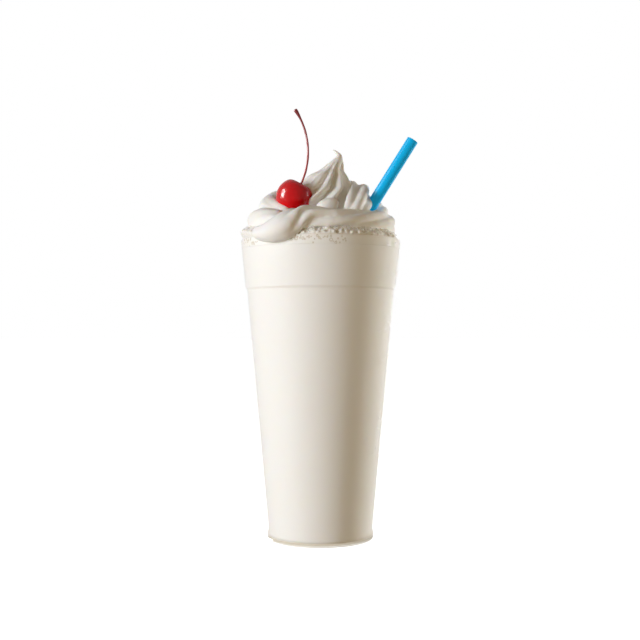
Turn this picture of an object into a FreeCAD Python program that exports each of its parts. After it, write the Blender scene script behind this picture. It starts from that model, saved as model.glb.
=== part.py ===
"""A vanilla milkshake in its tall glass, with froth, whipped cream, a cherry and a straw.

Millimetres. The origin is the middle of the glass's underside, +Z is up, the front is -Y.
"""

import FreeCAD, Part
import math
import os

import Mesh
import Sketcher

from FreeCAD import Placement, Rotation, Vector

doc = FreeCAD.newDocument("milkshake")
sheet = doc.addObject("Spreadsheet::Sheet", "Sizes")

SIZES = {
    # glass
    "GlassHeight": 168.0,
    "RimRadius": 45.0,
    "BandHeight": 28.0,  # from the rim down to the stacking ledge
    "LedgeInset": 2.6,  # from the rim's radius to the radius just above the ledge
    "LedgeStep": 1.0,
    "LedgeRise": 1.5,
    "Taper": 15.7,  # from the rim's radius to the neck's, just above the foot
    "NeckHeight": 5.4,
    "FootStep": 0.6,  # how far the foot's bead stands out past the neck
    "FootBeadTop": 3.4,
    "FootCorner": 1.6,
    "WallThickness": 2.0,
    "FloorThickness": 3.0,
    "FloorCorner": 3.0,
    "LipRound": 0.85,
    "LedgeRound": 0.9,
    # drink and froth
    "FrothDepth": 5.0,  # below the rim
    "FrothCrown": 10.5,  # above the rim
    "FrothShoulderInset": 7.5,  # from the rim's radius to where the heap turns level
    "FrothShoulderHeight": 6.2,
    "FrothBrimHeight": 2.6,
    "FrothLean": 0.25,  # past the inside of the wall
    "FrothBrimRound": 1.5,
    "FrothRound": 12.0,
    # straw
    "StrawRadius": 3.25,
    "StrawWall": 0.35,
    "StrawLean": 32.0,
    "StrawShown": 43.7,  # length above the cream
    "StrawExitInset": 16.8,  # from the rim's radius to where it leaves the cream
    "StrawExitY": -9.0,
    "StrawExitLift": 18.0,  # above the rim
    "StrawFootInset": 17.3,  # from the rim's radius to its foot, on the other side
    "StrawClearance": 0.05,
    # cherry and its stem
    "CherryRadius": 10.1,
    "CherryInsetX": 30.4,  # in from the rim's radius, on the left
    "CherryInsetY": 28.0,  # in from the rim's radius, at the front
    "CherryLift": 22.4,  # above the rim
    "CherryTilt": 28.5,
    "DimpleRadius": 4.2,
    "DimpleDepth": 2.9,
    "DimpleRound": 1.3,
    "StemLength": 45.4,
    "StemBend": 41.5,
    "StemRadius": 0.6,
    "StemTipRadius": 1.15,
    "StemFlare": 0.14,  # share of its length that widens to the tip
    "StemSet": 1.5,  # how deep the stem stands in the flesh
    "StemClearance": 0.02,
    # whipped cream: the peak
    "PeakRise": 51.5,  # above the rim
    "PeakFootInset": 8.0,
    "PeakTipRadius": 1.8,
    "PeakHollow": 0.95,  # how hollow its sides are
    "PeakLean": 11.5,
    "PeakBow": 2.4,  # how late on its way up it leans
    "PeakFlutes": 10,
    "PeakTwist": 50.0,
    "FluteDepth": 0.2,
    # whipped cream: the ring round the rim and its fold over the front
    "RingInset": 9.5,
    "RingLift": 9.6,  # above the rim
    "RingThickness": 6.5,
    "RingStart": -138.0,
    "RingEnd": 206.0,
    "FoldReach": 10.0,  # how far its first end leans out past the ring
    "FoldDrop": 8.0,
    "FoldSpan": 70.0,
    "RopeFlutes": 5,
    "RopeTwist": 300.0,
    # whipped cream: the upper coil
    "CoilInset": 24.0,
    "CoilLift": 25.0,  # above the rim
    "CoilThickness": 8.2,
    "CoilStart": -30.0,
    "CoilEnd": 208.0,
    "CoilFlare": 6.5,
    "CoilDrop": 8.5,
    "CreamSoftness": 1.2,  # rounding where its folds meet
    "CreamCell": 2.4,  # grid that the folds are worked out on
    "CreamClearance": 0.42,
}

for row, (alias, value) in enumerate(SIZES.items(), start=1):
    sheet.set(f"A{row}", alias)
    sheet.set(f"B{row}", str(value))
    sheet.setAlias(f"B{row}", alias)
doc.recompute()


class Term:
    """A number together with the sheet formula that gives it."""

    def __init__(self, value, formula):
        self.value = value
        self.formula = formula

    def joined(self, other, sign, value):
        right = other.formula if isinstance(other, Term) else str(other)
        return Term(value, f"({self.formula} {sign} {right})")

    def __add__(self, other):
        return self.joined(other, "+", self.value + number(other))

    def __sub__(self, other):
        return self.joined(other, "-", self.value - number(other))

    def __mul__(self, other):
        return self.joined(other, "*", self.value * number(other))

    def __truediv__(self, other):
        return self.joined(other, "/", self.value / number(other))


def number(item):
    return item.value if isinstance(item, Term) else item


NUMBERS = {alias: float(sheet.get(alias)) for alias in SIZES}


def size(alias):
    """The sheet's number under that name."""
    return NUMBERS[alias]


def cell(alias):
    """The same number as a term that sketches and placements can be bound to."""
    return Term(size(alias), f"{sheet.Name}.{alias}")


ZERO = Term(0.0, "0")


def origin_part(body, role):
    return next(item for item in body.Origin.OriginFeatures if item.Role == role)


def add_outline(body, name, corners):
    """A closed sketch on the body's XZ plane whose corners are (radius, height) terms."""
    sketch = body.newObject("Sketcher::SketchObject", name)
    sketch.AttachmentSupport = (origin_part(body, "XZ_Plane"), [""])
    sketch.MapMode = "FlatFace"
    spots = [Vector(radius.value, height.value, 0) for radius, height in corners]
    for here, there in zip(spots, spots[1:] + spots[:1]):
        sketch.addGeometry(Part.LineSegment(here, there), False)
    for index, (radius, height) in enumerate(corners):
        previous = (index - 1) % len(corners)
        join = ("Coincident", previous, 2, index, 1)
        sketch.addConstraint(Sketcher.Constraint(*join))
        for kind, term, axis in (("DistanceX", radius, -2), ("DistanceY", height, -1)):
            if term.value == 0:
                sketch.addConstraint(Sketcher.Constraint("PointOnObject", index, 1, axis))
                continue
            place = (kind, -1, 1, index, 1, term.value)
            bound = sketch.addConstraint(Sketcher.Constraint(*place))
            sketch.setExpression(f"Constraints[{bound}]", term.formula)
    return sketch


def turned_body(label, corners):
    """A body turned all the way round Z from its outline."""
    body = doc.addObject("PartDesign::Body", label)
    sketch = add_outline(body, f"{label}_outline", corners)
    turn = body.newObject("PartDesign::Revolution", f"{label}_turn")
    turn.Profile = sketch
    turn.ReferenceAxis = (sketch, ["V_Axis"])
    turn.Angle = 360.0
    doc.recompute()
    return body


def round_edges(body, spots, alias):
    """Rounds the circular edges of a body's tip that lie at these (radius, height) places."""
    base = body.Tip
    names = []
    for index, edge in enumerate(base.Shape.Edges, start=1):
        if not hasattr(edge.Curve, "Radius"):
            continue
        where = (edge.Curve.Radius, edge.Curve.Center.z)
        if any(math.dist(where, (r.value, z.value)) < 1e-3 for r, z in spots):
            names.append(f"Edge{index}")
    fillet = body.newObject("PartDesign::Fillet", f"{body.Name}_{alias}")
    fillet.Base = (base, names)
    fillet.setExpression("Radius", cell(alias).formula)
    doc.recompute()


# ---- glass -------------------------------------------------------------------------------

height, wall, floor = cell("GlassHeight"), cell("WallThickness"), cell("FloorThickness")
ledge_low = height - cell("BandHeight")
ledge_high = ledge_low + cell("LedgeRise")
rim = cell("RimRadius")
above_ledge = rim - cell("LedgeInset")
below_ledge = above_ledge - cell("LedgeStep")
neck = rim - cell("Taper")
foot = neck + cell("FootStep")

outer = [
    (foot, ZERO),
    (foot, cell("FootBeadTop")),
    (neck, cell("NeckHeight")),
    (below_ledge, ledge_low),
    (above_ledge, ledge_high),
    (rim, height),
]
inner = [
    (neck - wall, floor),
    (below_ledge - wall, ledge_low),
    (above_ledge - wall, ledge_high),
    (rim - wall, height),
]

glass = turned_body("glass", [(ZERO, ZERO)] + outer + inner[::-1] + [(ZERO, floor)])
round_edges(glass, [outer[0]], "FootCorner")
round_edges(glass, [outer[5], inner[3]], "LipRound")
round_edges(glass, [outer[3], outer[4], inner[1], inner[2]], "LedgeRound")
round_edges(glass, [inner[0]], "FloorCorner")
glass.Placement = Placement()


# ---- straw -------------------------------------------------------------------------------

def sine(lean):
    return Term(math.sin(math.radians(lean.value)), f"sin({lean.formula} * 1 deg)")


def cosine(lean):
    return Term(math.cos(math.radians(lean.value)), f"cos({lean.formula} * 1 deg)")


straw_lean = cell("StrawLean")
straw_exit = (rim - cell("StrawExitInset"), cell("StrawExitY"), height + cell("StrawExitLift"))
straw_foot = cell("StrawFootInset") - rim
straw_hidden = (straw_exit[0] - straw_foot) / sine(straw_lean)
straw_length = straw_hidden + cell("StrawShown")


def lean_straw(item):
    """Sets a Z-going thing on the straw's line, starting at the straw's foot."""
    item.Placement = Placement(Vector(), Rotation(Vector(0, 1, 0), straw_lean.value))
    item.setExpression("Placement.Rotation.Angle", straw_lean.formula)
    item.setExpression("Placement.Base.x", straw_foot.formula)
    item.setExpression("Placement.Base.y", straw_exit[1].formula)
    base = straw_exit[2] - straw_hidden * cosine(straw_lean)
    item.setExpression("Placement.Base.z", base.formula)


straw = doc.addObject("PartDesign::Body", "straw")
ring = straw.newObject("Sketcher::SketchObject", "straw_ring")
ring.AttachmentSupport = (origin_part(straw, "XY_Plane"), [""])
ring.MapMode = "FlatFace"
for radius in (cell("StrawRadius"), cell("StrawRadius") - cell("StrawWall")):
    circle = ring.addGeometry(Part.Circle(Vector(), Vector(0, 0, 1), radius.value), False)
    ring.addConstraint(Sketcher.Constraint("Coincident", circle, 3, -1, 1))
    bound = ring.addConstraint(Sketcher.Constraint("Radius", circle, radius.value))
    ring.setExpression(f"Constraints[{bound}]", radius.formula)
tube = straw.newObject("PartDesign::Pad", "straw_tube")
tube.Profile = ring
tube.setExpression("Length", straw_length.formula)
lean_straw(straw)

straw_room = doc.addObject("Part::Cylinder", "straw_room")
straw_room.setExpression("Radius", (cell("StrawRadius") + cell("StrawClearance")).formula)
straw_room.setExpression("Height", straw_length.formula)
lean_straw(straw_room)


# ---- drink -------------------------------------------------------------------------------

level = height - cell("FrothDepth")
rise = (level - ledge_high) / (height - ledge_high)
level_radius = inner[2][0] + (inner[3][0] - inner[2][0]) * rise
fill = turned_body("drink", [(ZERO, floor)] + inner[:3] + [(level_radius, level), (ZERO, level)])
round_edges(fill, [inner[1], inner[2]], "LedgeRound")
round_edges(fill, [inner[0]], "FloorCorner")

drink = doc.addObject("Part::Cut", "milkshake")
drink.Base = fill
drink.Tool = straw_room
doc.recompute()


def blend(start, end, share):
    """From start to end along a smooth S curve, flat at both ends."""
    share = min(max(share, 0.0), 1.0)
    return start + (end - start) * share * share * (3 - 2 * share)


# ---- froth -------------------------------------------------------------------------------

lip_start = height - cell("LipRound")
lip_rise = (lip_start - ledge_high) / (height - ledge_high)
lip_radius = inner[2][0] + (inner[3][0] - inner[2][0]) * lip_rise
brim = (inner[3][0] + cell("FrothLean"), height + cell("FrothBrimHeight"))
shoulder = (rim - cell("FrothShoulderInset"), height + cell("FrothShoulderHeight"))
foam = turned_body(
    "foam",
    [(ZERO, level), (level_radius, level), (lip_radius, lip_start), brim, shoulder,
     (ZERO, height + cell("FrothCrown"))],
)
round_edges(foam, [brim], "FrothBrimRound")
round_edges(foam, [shoulder], "FrothRound")

froth = doc.addObject("Part::Cut", "froth")
froth.Base = foam
froth.Tool = straw_room
doc.recompute()


# ---- cherry ------------------------------------------------------------------------------

cherry_middle = (cell("CherryInsetX") - rim, cell("CherryInsetY") - rim,
                 height + cell("CherryLift"))


def place_cherry(item, above):
    """Turns a Z-up thing with the cherry and sets it that far above its middle."""
    lean = cell("CherryTilt")
    x, y, z = cherry_middle
    item.Placement = Placement(Vector(), Rotation(Vector(0, 1, 0), lean.value))
    item.setExpression("Placement.Rotation.Angle", lean.formula)
    item.setExpression("Placement.Base.x", (x + above * sine(lean)).formula)
    item.setExpression("Placement.Base.y", y.formula)
    item.setExpression("Placement.Base.z", (z + above * cosine(lean)).formula)


flesh = doc.addObject("Part::Sphere", "cherry_flesh")
flesh.setExpression("Radius", cell("CherryRadius").formula)
dimple = doc.addObject("Part::Sphere", "cherry_dimple")
dimple.setExpression("Radius", cell("DimpleRadius").formula)
place_cherry(flesh, ZERO)
place_cherry(dimple, cell("CherryRadius") + cell("DimpleRadius") - cell("DimpleDepth"))

dimpled = doc.addObject("Part::Cut", "cherry_dimpled")
dimpled.Base = flesh
dimpled.Tool = dimple
doc.recompute()

soft = doc.addObject("Part::Fillet", "cherry_soft")
soft.Base = dimpled
brims = [
    index
    for index, edge in enumerate(dimpled.Shape.Edges, start=1)
    if not edge.Degenerated and edge.isClosed() and edge.Curve.Radius < size("DimpleRadius")
]
soft.Edges = [(index, size("DimpleRound"), size("DimpleRound")) for index in brims]
doc.recompute()


def stem_shape(extra):
    """A round stem on an arc, thin in the middle and flared at its free end."""
    lean = math.radians(size("CherryTilt"))
    bend = size("StemBend")
    sink = size("CherryRadius") - size("DimpleDepth") - size("StemSet")
    out = Vector(math.sin(lean), 0, math.cos(lean))
    aside = Vector(math.cos(lean), 0, -math.sin(lean))
    start = Vector(*map(number, cherry_middle)) + out * sink
    wires = []
    stations = 12
    for station in range(stations):
        share = station / (stations - 1)
        angle = size("StemLength") * share / bend
        spot = start + out * (bend * math.sin(angle)) - aside * (bend * (1 - math.cos(angle)))
        flare = blend(0, 1, 1 - (1 - share) / size("StemFlare"))
        radius = size("StemRadius") + (size("StemTipRadius") - size("StemRadius")) * flare
        direction = out * math.cos(angle) - aside * math.sin(angle)
        circle = Part.Circle(spot, direction, radius + extra)
        wires.append(Part.Wire(circle.toShape()))
    return Part.makeLoft(wires, True, False)


stem = doc.addObject("Part::Feature", "cherry_stem")
stem.Shape = stem_shape(0.0)
stem.Placement = Placement()

stem_room = doc.addObject("Part::Feature", "stem_room")
stem_room.Shape = stem_shape(size("StemClearance"))
stem_room.Placement = Placement()

cherry = doc.addObject("Part::Cut", "cherry")
cherry.Base = soft
cherry.Tool = stem_room
doc.recompute()


# ---- whipped cream -------------------------------------------------------------------------

# The folds are worked out as one function of space: the distance to the cream's surface,
# below zero inside it. The surface is then drawn through a grid of cells.

GRID = size("CreamCell")
BLUNT_END = 0.05  # share of its thickness that a rope keeps at its very end
JUST_OUTSIDE = 0.02  # how far outside a pinched node is set, in cells
NUDGE = 0.05  # step, in millimetres, for taking the distance's slope
FLATTEST = 0.2  # slopes below this are too weak to follow
RIM = size("RimRadius")
BRINK = size("GlassHeight")


def fluted(across, upward, thickness, flutes, turn):
    """Distance to a star-shaped section, its flutes turned by this angle in degrees."""
    angle = math.atan2(upward, across)
    wave = 0.5 - 0.5 * math.cos(flutes * (angle - math.radians(turn)))
    return math.hypot(across, upward) - thickness * (1 - size("FluteDepth") * wave)


def peak_distance(x, y, z):
    """A fluted cone with hollow sides that leans to the right as it narrows."""
    rise, wide, thin = size("PeakRise"), RIM - size("PeakFootInset"), size("PeakTipRadius")
    share = max((z - BRINK) / rise, 0.0)
    if share >= 1:
        return z - BRINK - rise + thin
    thickness = thin + (wide - thin) * (1 - share) ** size("PeakHollow")
    middle = size("PeakLean") * share ** size("PeakBow")
    gap = fluted(x - middle, y, thickness, size("PeakFlutes"), size("PeakTwist") * share)
    return gap / math.hypot(1, wide / rise)


def rope_distance(x, y, z, start, end, middle, thickness):
    """A fluted rope laid round the glass's axis; middle gives its radius and height there."""
    angle = math.degrees(math.atan2(y, x))
    while angle < start:
        angle += 360
    share = (angle - start) / (end - start)
    beyond = math.radians(max(min(angle - end, start + 360 - angle), 0)) * math.hypot(x, y)
    if share > 1:
        share = 1.0 if angle - end < start + 360 - angle else 0.0
    radius, lift = middle(share)
    near = min(share, 1 - share) * math.radians(end - start) * radius
    dome = math.sqrt(max(1 - max(1 - near / thickness, 0) ** 2, 0))
    gap = fluted(
        math.hypot(x, y) - radius,
        z - lift,
        thickness * max(dome, BLUNT_END),
        size("RopeFlutes"),
        size("RopeTwist") * share,
    )
    return max(gap, 0) + beyond if beyond > 0 else gap


def ring_middle(share):
    """Level round the rim; the first stretch leans out and down over the front left."""
    fold = blend(1, 0, share * (size("RingEnd") - size("RingStart")) / size("FoldSpan"))
    radius = RIM - size("RingInset") + size("FoldReach") * fold
    return radius, BRINK + size("RingLift") - size("FoldDrop") * fold


def coil_middle(share):
    """Low and wide at the right front, high behind, low again on the left."""
    crest = math.sin(math.pi * share)
    radius = RIM - size("CoilInset") + size("CoilFlare") * (1 - crest)
    return radius, BRINK + size("CoilLift") - size("CoilDrop") * (1 - crest)


def merged(first, second):
    """The nearer of two distances, rounded off where they are alike."""
    soft_width = size("CreamSoftness")
    mix = min(max(0.5 + 0.5 * (second - first) / soft_width, 0), 1)
    return second * (1 - mix) + first * mix - soft_width * mix * (1 - mix)


SKIN = [
    (RIM, BRINK),
    (brim[0].value, brim[1].value),
    (shoulder[0].value, shoulder[1].value),
    (0.0, BRINK + size("FrothCrown")),
]


def froth_distance(radius, z):
    """Distance out from the glass's lip and the froth's skin, both taken to their corners."""
    gap = radius - RIM
    for (r0, z0), (r1, z1) in zip(SKIN, SKIN[1:]):
        slope = (z1 - z0) / (r1 - r0)
        gap = max(gap, (z - z0 - slope * (radius - r0)) / math.hypot(1, slope))
    return gap


CHERRY_MIDDLE = Vector(*map(number, cherry_middle))
STRAW_EXIT = Vector(*map(number, straw_exit))
STRAW_LINE = straw.Placement.Rotation.multVec(Vector(0, 0, 1))


def cream_distance(x, y, z):
    radius = math.hypot(x, y)
    start, end = size("RingStart"), size("RingEnd")
    ring = rope_distance(x, y, z, start, end, ring_middle, size("RingThickness"))
    start, end = size("CoilStart"), size("CoilEnd")
    coil = rope_distance(x, y, z, start, end, coil_middle, size("CoilThickness"))
    solid = merged(merged(peak_distance(x, y, z), coil), ring)
    room = froth_distance(radius, z)
    spot = Vector(x, y, z)
    berry = spot.distanceToPoint(CHERRY_MIDDLE) - size("CherryRadius")
    tube = spot.distanceToLine(STRAW_EXIT, STRAW_LINE) - size("StrawRadius")
    return max(solid, size("CreamClearance") - min(room, berry, tube))


STEPS = [(1, 0, 0), (0, 1, 0), (0, 0, 1)]


def shifted(node, step, sign=1):
    return tuple(a + sign * b for a, b in zip(node, step))


def drawn_surface(distance, low, high):
    """Triangles of the surface where the distance is zero.

    Each grid cell that the surface crosses gets one point, the middle of the crossings of
    its edges moved onto the surface; each grid edge that it crosses gets a four-sided face.
    """
    counts = [int((top - bottom) / GRID) + 2 for bottom, top in zip(low, high)]

    def place(node):
        return Vector(*[start + GRID * step for start, step in zip(low, node)])

    values = {
        (i, j, k): distance(*place((i, j, k)))
        for i in range(counts[0])
        for j in range(counts[1])
        for k in range(counts[2])
    }
    while pinch := pinched(values):
        values.update(pinch)
    crossings = {}
    for node, value in values.items():
        for axis, step in enumerate(STEPS):
            other = shifted(node, step)
            if other in values and (value < 0) != (values[other] < 0):
                share = value / (value - values[other])
                spot = place(node) + Vector(*step) * (GRID * share)
                crossings[node, axis] = spot, value < 0
    sums = {}
    for (node, axis), (spot, _) in crossings.items():
        for cell_node in around(node, axis):
            total, count = sums.get(cell_node, (Vector(), 0))
            sums[cell_node] = (total + spot, count + 1)
    points = {key: settled(total / count, distance) for key, (total, count) in sums.items()}
    triangles = []
    for (node, axis), (_, outward) in crossings.items():
        corners = [points[key] for key in around(node, axis)]
        if not outward:
            corners.reverse()
        a, b, c, d = corners
        if (a - c).Length < (b - d).Length:
            triangles += [(a, b, c), (a, c, d)]
        else:
            triangles += [(a, b, d), (b, c, d)]
    return triangles


def pinched(values):
    """Nodes to take out of the solid where it would touch itself across a cell's face."""
    changed = {}
    for node in values:
        for axis in range(3):
            ahead, aside = STEPS[axis], STEPS[(axis + 1) % 3]
            face = [node, shifted(node, ahead), shifted(shifted(node, ahead), aside)]
            face.append(shifted(node, aside))
            if face[2] not in values:
                continue
            signs = [values[corner] < 0 for corner in face]
            if signs[0] == signs[2] and signs[1] == signs[3] and signs[0] != signs[1]:
                inside = [corner for corner, sign in zip(face, signs) if sign]
                changed[max(inside, key=values.get)] = JUST_OUTSIDE * GRID
    return changed


def around(node, axis):
    """The four cells that share a grid edge, in order round it."""
    second, third = STEPS[(axis + 1) % 3], STEPS[(axis + 2) % 3]
    below = shifted(shifted(node, second, -1), third, -1)
    return [below, shifted(node, third, -1), node, shifted(node, second, -1)]


def settled(spot, distance):
    """The point moved one step down the distance's slope, by at most a quarter of a cell."""
    here = distance(*spot)
    slope = Vector(
        *[(distance(*(spot + Vector(*step) * NUDGE)) - here) / NUDGE for step in STEPS]
    )
    if slope.Length < FLATTEST:
        return spot
    move = slope * (here / slope.Length**2)
    if move.Length > GRID / 4:
        move = move * (GRID / 4 / move.Length)
    return spot - move


reach = RIM - size("RingInset") + size("FoldReach") + size("RingThickness") + GRID
base = BRINK + size("RingLift") - size("FoldDrop") - size("RingThickness") - GRID
top = BRINK + size("PeakRise") + GRID
facets = drawn_surface(cream_distance, (-reach, -reach, base), (reach, reach, top))
skin = Part.Shape()
skin.makeShapeFromMesh(Mesh.Mesh(facets).Topology, 0.001)
cream = doc.addObject("Part::Feature", "whipped_cream")
cream.Shape = Part.makeSolid(skin)
cream.Placement = Placement()


# ---- checks and files ----------------------------------------------------------------------

doc.recompute()
for item in doc.Objects:
    if {"Invalid", "Error"} & set(item.State):
        raise RuntimeError(f"{item.Label} is {item.State}")

pieces = (glass, drink, froth, cream, cherry, stem, straw)
for piece in pieces:
    shape = piece.Shape
    if shape.isNull() or not shape.isValid() or len(shape.Solids) != 1:
        raise RuntimeError(f"{piece.Label} is not one valid solid")

os.makedirs("parts", exist_ok=True)
for piece in pieces:
    piece.Shape.exportStep(f"parts/{piece.Label}.step")
    print(piece.Label, round(piece.Shape.Volume / 1000, 2), "ml")
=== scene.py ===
import math

import bpy
import numpy as np
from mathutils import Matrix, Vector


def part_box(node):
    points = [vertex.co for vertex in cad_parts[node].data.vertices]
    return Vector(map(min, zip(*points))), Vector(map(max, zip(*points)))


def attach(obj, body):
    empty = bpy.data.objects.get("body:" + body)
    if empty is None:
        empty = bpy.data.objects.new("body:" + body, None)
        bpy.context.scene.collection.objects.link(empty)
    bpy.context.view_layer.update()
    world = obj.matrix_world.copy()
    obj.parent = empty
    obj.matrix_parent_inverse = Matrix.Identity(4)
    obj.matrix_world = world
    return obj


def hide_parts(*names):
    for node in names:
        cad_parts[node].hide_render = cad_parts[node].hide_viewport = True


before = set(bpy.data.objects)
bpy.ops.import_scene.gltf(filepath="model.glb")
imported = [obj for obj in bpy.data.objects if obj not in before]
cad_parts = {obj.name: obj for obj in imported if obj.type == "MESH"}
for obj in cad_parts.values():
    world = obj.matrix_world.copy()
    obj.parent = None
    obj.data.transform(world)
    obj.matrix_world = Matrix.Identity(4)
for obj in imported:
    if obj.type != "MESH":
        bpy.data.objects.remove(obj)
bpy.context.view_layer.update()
scene = bpy.context.scene
scene.view_settings.view_transform = "Standard"  # keeps the red and the blue clean
mm = 0.001
print("frame loaded")


# One output socket of a node; arithmetic on it adds Math nodes.
class Wire:
    def __init__(self, shop, socket):
        self.shop = shop
        self.socket = socket

    def maths(self, operation, first, second):
        return self.shop.node("ShaderNodeMath", {"operation": operation},
                              {0: first, 1: second})

    def __add__(self, other):
        return self.maths("ADD", self, other)

    def __radd__(self, other):
        return self.maths("ADD", other, self)

    def __sub__(self, other):
        return self.maths("SUBTRACT", self, other)

    def __rsub__(self, other):
        return self.maths("SUBTRACT", other, self)

    def __mul__(self, other):
        return self.maths("MULTIPLY", self, other)

    def __rmul__(self, other):
        return self.maths("MULTIPLY", other, self)

    def __pow__(self, other):
        return self.maths("POWER", self, other)

    def __rpow__(self, other):
        return self.maths("POWER", other, self)


# A node tree, one method for any node and a few short names for the usual ones.
class Shop:
    def __init__(self, owner):
        owner.use_nodes = True
        self.tree = owner.node_tree
        self.tree.nodes.clear()

    def node(self, kind, settings, sockets, output=0):
        made = self.tree.nodes.new(kind)
        for key, value in settings.items():
            if key == "stops":
                for index, (position, colour) in enumerate(value):
                    ramp = made.color_ramp.elements
                    stop = ramp[index] if index < 2 else ramp.new(position)
                    stop.position = position
                    stop.color = (*colour, 1)
            else:
                setattr(made, key, value)
        for key, value in sockets.items():
            self.feed(made.inputs[key], value)
        return Wire(self, made.outputs[output]) if made.outputs else made

    def feed(self, socket, value):
        if isinstance(value, Wire):
            self.tree.links.new(value.socket, socket)
        else:
            socket.default_value = value

    def noise(self, place, scale, detail=3.0, roughness=0.5):
        return self.node("ShaderNodeTexNoise", {}, {"Vector": place, "Scale": scale,
                                                    "Detail": detail, "Roughness": roughness})

    def ramp(self, factor, stops):
        return self.node("ShaderNodeValToRGB", {"stops": stops}, {"Fac": factor})

    def mixed(self, factor, first, second):
        return self.node("ShaderNodeMix", {"data_type": "RGBA"},
                         {"Factor": factor, 6: first, 7: second}, 2)

    def bump(self, height, strength, distance):
        return self.node("ShaderNodeBump", {}, {"Height": height, "Strength": strength,
                                                "Distance": distance})

    def painted(self, name):
        return self.node("ShaderNodeAttribute", {"attribute_name": name}, {}, "Fac")


# Ends a material with its one Principled shader, whose sockets take values or wires.
def finish(shop, sockets):
    shader = shop.node("ShaderNodeBsdfPrincipled", {}, sockets)
    shop.node("ShaderNodeOutputMaterial", {}, {"Surface": shader})
    return shop.material


# A new material whose patterns are placed by Object coordinates.
def newShop(name):
    material = bpy.data.materials.new(name)
    shop = Shop(material)
    shop.material = material
    shop.place = shop.node("ShaderNodeTexCoord", {}, {}, "Object")
    return shop


def clearGlass():
    look = {"colour": (0.985, 0.995, 0.99, 1), "refraction": 1.48, "shine": 0.4}
    shop = newShop("clearGlass")
    return finish(shop, {
        "Base Color": look["colour"], "Roughness": 0.0, "IOR": look["refraction"],
        "Specular IOR Level": look["shine"], "Transmission Weight": 1.0})


# Water beads: clear, a touch softer than the glass.
def waterBead():
    look = {"colour": (1, 1, 1, 1), "roughness": 0.02, "refraction": 1.33}
    shop = newShop("waterBead")
    return finish(shop, {
        "Base Color": look["colour"], "Roughness": look["roughness"],
        "IOR": look["refraction"], "Transmission Weight": 1.0})


# Drink, froth and cream differ in colour, depth of glow and fineness of grain. The froth's hollow
# colour is painted shade, darkest where the froth is open, and the drink's under colour is a
# painted glow that stands for the table's light through the glass.
def creamy(name, look):
    shop = newShop(name)
    blotch = shop.noise(shop.place, look["blotchScale"], 4.0)
    grain = shop.noise(shop.place, look["grainScale"], 2.0)
    colour = shop.mixed(blotch, (*look["shade"], 1), (*look["light"], 1))
    # Painted shade: the hollow colour is mixed in where the froth's attribute asks.
    if "hollow" in look:
        colour = shop.mixed(shop.painted("hollow"), colour, (*look["hollow"], 1))
    sockets = {
        "Base Color": colour,
        "Roughness": look["roughness"] + 0.12 * (grain - 0.5),
        "Normal": shop.bump(grain, look["grainStrength"], look["grainDepth"]),
        "Subsurface Weight": look["glow"], "Subsurface Scale": look["glowDepth"],
        "Subsurface Radius": (1.0, 0.62, 0.36), "IOR": 1.38}
    # Painted light: a glow where the drink's attribute asks, standing for the table's light.
    if "under" in look:
        sockets["Emission Color"] = shop.mixed(shop.painted("under"), (0, 0, 0, 1),
                                               (*look["under"], 1))
        sockets["Emission Strength"] = 1.0
    return finish(shop, sockets)


def cherryFlesh():
    look = {"deep": (0.50, 0.002, 0.004), "bright": (0.74, 0.005, 0.009), "veinScale": 160.0,
            "roughness": 0.20, "coat": 0.12, "coatRoughness": 0.06, "shine": 0.12,
            "veinStrength": 0.10, "veinDepth": 0.0006, "glow": 0.15, "glowDepth": 0.003}
    shop = newShop("cherryFlesh")
    vein = shop.noise(shop.place, look["veinScale"], 5.0, 0.6)
    return finish(shop, {
        "Base Color": shop.mixed(vein, (*look["deep"], 1), (*look["bright"], 1)),
        "Roughness": look["roughness"] + 0.10 * vein,
        "Coat Weight": look["coat"] + 0.08 * vein, "Coat Roughness": look["coatRoughness"],
        "Specular IOR Level": look["shine"],
        "Normal": shop.bump(vein, look["veinStrength"], look["veinDepth"]),
        "Subsurface Weight": look["glow"], "Subsurface Scale": look["glowDepth"],
        "Subsurface Radius": (1.0, 0.12, 0.08)})


# Red at the cherry, darkening along the stem, with darker streaks.
def stemSkin():
    look = {"dark": (0.20, 0.014, 0.016), "red": (0.46, 0.025, 0.028), "streakScale": 900.0,
            "streaked": 0.5, "roughness": 0.30, "streakStrength": 0.3, "streakDepth": 0.0002}
    shop = newShop("stemSkin")
    streak = shop.noise(shop.place, look["streakScale"], 3.0)
    tone = shop.mixed(shop.painted("along"), (*look["red"], 1), (*look["dark"], 1))
    return finish(shop, {
        "Base Color": shop.mixed(streak * look["streaked"], tone, (*look["dark"], 1)),
        "Roughness": look["roughness"] + 0.2 * streak,
        "Normal": shop.bump(streak, look["streakStrength"], look["streakDepth"])})


# Blue plastic with a painted glow of its own that lifts its shaded side.
def strawPlastic():
    look = {"blue": (0.0, 0.43, 0.80), "pale": (0.0, 0.48, 0.86), "grainScale": 400.0,
            "roughness": 0.24, "shine": 0.2,
            "through": (0.0, 0.06, 0.15, 1)}  # painted glow that lifts its shaded side, standing for light through its thin wall
    shop = newShop("strawPlastic")
    grain = shop.noise(shop.place, look["grainScale"], 3.0)
    return finish(shop, {
        "Base Color": shop.mixed(grain, (*look["blue"], 1), (*look["pale"], 1)),
        "Roughness": look["roughness"] + 0.12 * grain, "Specular IOR Level": look["shine"],
        "Emission Color": look["through"], "Emission Strength": 1.0})


# A bubble's film shows most where it is seen edge on.
def bubbleFilm():
    look = {"colour": (0.97, 0.95, 0.90, 1), "roughness": 0.08, "refraction": 1.4,
            "thin": 0.08, "edge": 0.45, "blend": 0.45}
    shop = newShop("bubbleFilm")
    facing = shop.node("ShaderNodeLayerWeight", {}, {"Blend": look["blend"]}, "Facing")
    return finish(shop, {
        "Base Color": look["colour"], "Roughness": look["roughness"],
        "IOR": look["refraction"], "Alpha": look["thin"] + look["edge"] * facing ** 2.0})


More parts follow.
